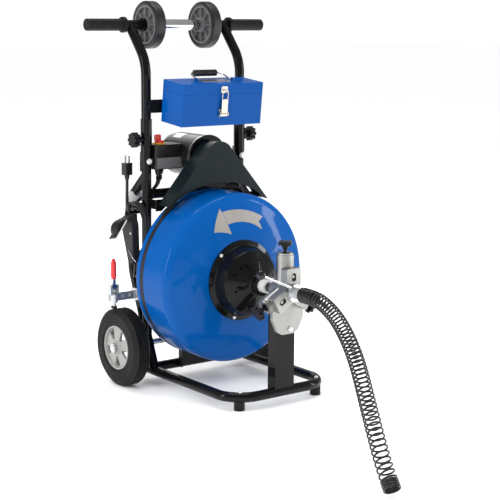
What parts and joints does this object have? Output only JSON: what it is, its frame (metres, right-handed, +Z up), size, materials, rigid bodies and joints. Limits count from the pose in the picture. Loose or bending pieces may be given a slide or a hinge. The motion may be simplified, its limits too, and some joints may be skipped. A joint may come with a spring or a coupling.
{
  "type": "drain snake machine",
  "caption": "Belt-driven drain cleaning drum on a wheeled tubular frame, with power feed, guide hose, tool box and foot pedal.",
  "frame": {"origin": "on the floor, at the middle of the machine's box without its free cords and guide hose", "axes": "+X towards the machine's right wheel, +Y towards its handlebar side, +Z up"},
  "size_m": [0.56, 1.2064, 0.9937],
  "materials": {
    "belt_rubber": "fabric faced",
    "black_paint": "gloss",
    "black_plastic": "satin",
    "black_rubber": "matt",
    "blue_paint": "gloss",
    "cast_alloy": "painted casting",
    "chrome": "polished",
    "cord_jacket": "satin",
    "grey_plastic": "satin",
    "motor_shell": "black paint",
    "red_plastic": "dipped vinyl",
    "rim_plastic": "satin",
    "steel": "zinc plated",
    "tyre_rubber": "matt"
  },
  "bodies": {
    "frame": {"base_rail": "black_paint", "rubber_feet": "black_rubber", "frame_bolts": "steel", "uprights": "black_paint", "rear_braces": "black_paint", "cross_tubes": "black_paint", "wheel_axle": "steel", "drive_belt": "belt_rubber", "belt_guard": "black_paint", "motor_body": "motor_shell", "motor_mount": "black_paint", "bearing_channel": "black_paint", "rear_bearing": "black_paint", "switch_box": "black_plastic", "feed_body": "cast_alloy", "feed_blocks": "cast_alloy", "nose_tube": "steel", "feed_post": "black_paint", "brake_bracket": "steel", "pedal_base": "grey_plastic", "guide_spring": "black_paint", "cord_coil": "cord_jacket", "power_cord": "cord_jacket", "air_hose": "cord_jacket", "plug": "black_plastic"},
    "drum": {"drum_front": "blue_paint", "drum_back": "blue_paint", "drum_hub": "black_paint", "drum_bolts": "steel", "hub_neck": "steel", "drum_shaft": "steel", "drain_cable": "steel"},
    "motor_rotor": {"motor_pulley": "steel"},
    "wheel_left": {"tyre_left": "tyre_rubber", "rim_left": "rim_plastic"},
    "wheel_right": {"tyre_right": "tyre_rubber", "rim_right": "rim_plastic"},
    "handle": {"handle_frame": "black_paint", "hand_grips": "black_rubber", "spacer_tube": "chrome", "box_bracket": "black_paint", "box_body": "blue_paint"},
    "loading_left": {"loading_wheel_left": "tyre_rubber"},
    "loading_right": {"loading_wheel_right": "tyre_rubber"},
    "knob_left": {"clamp_knob_left": "black_plastic"},
    "knob_right": {"clamp_knob_right": "black_plastic"},
    "lid": {"box_lid": "blue_paint"},
    "bail": {"box_handle": "chrome"},
    "latch": {"latch_lever": "chrome"},
    "roller_top": {"feed_roller_top": "steel"},
    "roller_left": {"feed_roller_left": "steel"},
    "roller_right": {"feed_roller_right": "steel"},
    "tension_top": {"feed_knob_top": "black_plastic"},
    "tension_left": {"feed_knob_left": "black_plastic"},
    "tension_right": {"feed_knob_right": "black_plastic"},
    "reverse_lever": {"feed_lever": "chrome"},
    "brake_lever": {"brake_handle": "red_plastic"},
    "brake_tip": {"brake_plunger": "steel"},
    "treadle": {"pedal_treadle": "black_plastic"},
    "switch": {"switch_knob": "red_plastic"}
  },
  "joints": [
    {"name": "drum_spin", "type": "hinge", "parent": "frame", "child": "drum", "pos_m": [0, 0.0823, 0.288], "axis": [0, 1, 0], "continuous": true},
    {"name": "motor_spin", "type": "hinge", "parent": "frame", "child": "motor_rotor", "pos_m": [0, 0.0823, 0.592], "axis": [0, 1, 0], "continuous": true},
    {"name": "wheel_left_spin", "type": "hinge", "parent": "frame", "child": "wheel_left", "pos_m": [-0.225, 0.1603, 0.1016], "axis": [1, 0, 0], "continuous": true},
    {"name": "wheel_right_spin", "type": "hinge", "parent": "frame", "child": "wheel_right", "pos_m": [0.225, 0.1603, 0.1016], "axis": [1, 0, 0], "continuous": true},
    {"name": "handle_slide", "type": "slide", "parent": "frame", "child": "handle", "axis": [0, 0, 1], "range_m": [0, 0.07]},
    {"name": "loading_left_spin", "type": "hinge", "parent": "handle", "child": "loading_left", "pos_m": [-0.089, 0.2377, 0.9317], "axis": [1, 0, 0], "continuous": true},
    {"name": "loading_right_spin", "type": "hinge", "parent": "handle", "child": "loading_right", "pos_m": [0.089, 0.2377, 0.9317], "axis": [1, 0, 0], "continuous": true},
    {"name": "knob_left_turn", "type": "hinge", "parent": "frame", "child": "knob_left", "pos_m": [-0.18, 0.1603, 0.6405], "axis": [1, 0, 0], "continuous": true},
    {"name": "knob_right_turn", "type": "hinge", "parent": "frame", "child": "knob_right", "pos_m": [0.18, 0.1603, 0.6405], "axis": [1, 0, 0], "continuous": true},
    {"name": "lid_open", "type": "hinge", "parent": "handle", "child": "lid", "pos_m": [0, 0.12069, 0.77009], "axis": [-1, 0, 0], "range_deg": [0, 100]},
    {"name": "bail_swing", "type": "hinge", "parent": "lid", "child": "bail", "pos_m": [-0.002, 0.06724, 0.79546], "axis": [1, 0, 0], "range_deg": [0, 125]},
    {"name": "latch_open", "type": "hinge", "parent": "handle", "child": "latch", "pos_m": [-0.002, 0.02329, 0.70921], "axis": [1, 0, 0], "range_deg": [0, 100]},
    {"name": "roller_top_spin", "type": "hinge", "parent": "frame", "child": "roller_top", "pos_m": [0, -0.2297, 0.3078], "axis": [-0.4226, 0.9063, 0], "continuous": true},
    {"name": "tension_top_turn", "type": "hinge", "parent": "frame", "child": "tension_top", "pos_m": [0, -0.2297, 0.37], "axis": [0, 0, 1], "continuous": true},
    {"name": "roller_left_spin", "type": "hinge", "parent": "frame", "child": "roller_left", "pos_m": [-0.01542, -0.2297, 0.2811], "axis": [0.2113, 0.9063, -0.366], "continuous": true},
    {"name": "tension_left_turn", "type": "hinge", "parent": "frame", "child": "tension_left", "pos_m": [-0.06928, -0.2297, 0.25], "axis": [-0.866, 0, -0.5], "continuous": true},
    {"name": "roller_right_spin", "type": "hinge", "parent": "frame", "child": "roller_right", "pos_m": [0.01542, -0.2297, 0.2811], "axis": [0.2113, 0.9063, 0.366], "continuous": true},
    {"name": "tension_right_turn", "type": "hinge", "parent": "frame", "child": "tension_right", "pos_m": [0.06928, -0.2297, 0.25], "axis": [0.866, 0, -0.5], "continuous": true},
    {"name": "reverse_lever_swing", "type": "hinge", "parent": "frame", "child": "reverse_lever", "pos_m": [0, -0.2701, 0.29], "axis": [0, 1, 0], "range_deg": [-20, 20]},
    {"name": "brake_lever_swing", "type": "hinge", "parent": "frame", "child": "brake_lever", "pos_m": [-0.241, 0.1783, 0.258], "axis": [1, 0, 0], "range_deg": [0, 75]},
    {"name": "brake_plunge", "type": "slide", "parent": "frame", "child": "brake_tip", "axis": [0, 0, 1], "range_m": [0, 0.007]},
    {"name": "treadle_press", "type": "hinge", "parent": "frame", "child": "treadle", "pos_m": [-0.217, 0.1623, 0.436], "axis": [0, 0.9816, -0.1908], "range_deg": [-36, 0], "stiffness_Nm_per_rad": 0.3, "springref_deg": 20.05},
    {"name": "switch_turn", "type": "hinge", "parent": "frame", "child": "switch", "pos_m": [-0.106, 0.1663, 0.64], "axis": [0, 0, 1], "range_deg": [-60, 60]}
  ],
  "couplings": [
    {"joint": "motor_spin", "follows": "drum_spin", "ratio": 7.7153},
    {"joint": "brake_lever_swing", "follows": "brake_plunge", "rad_per_m": 186.9}
  ]
}
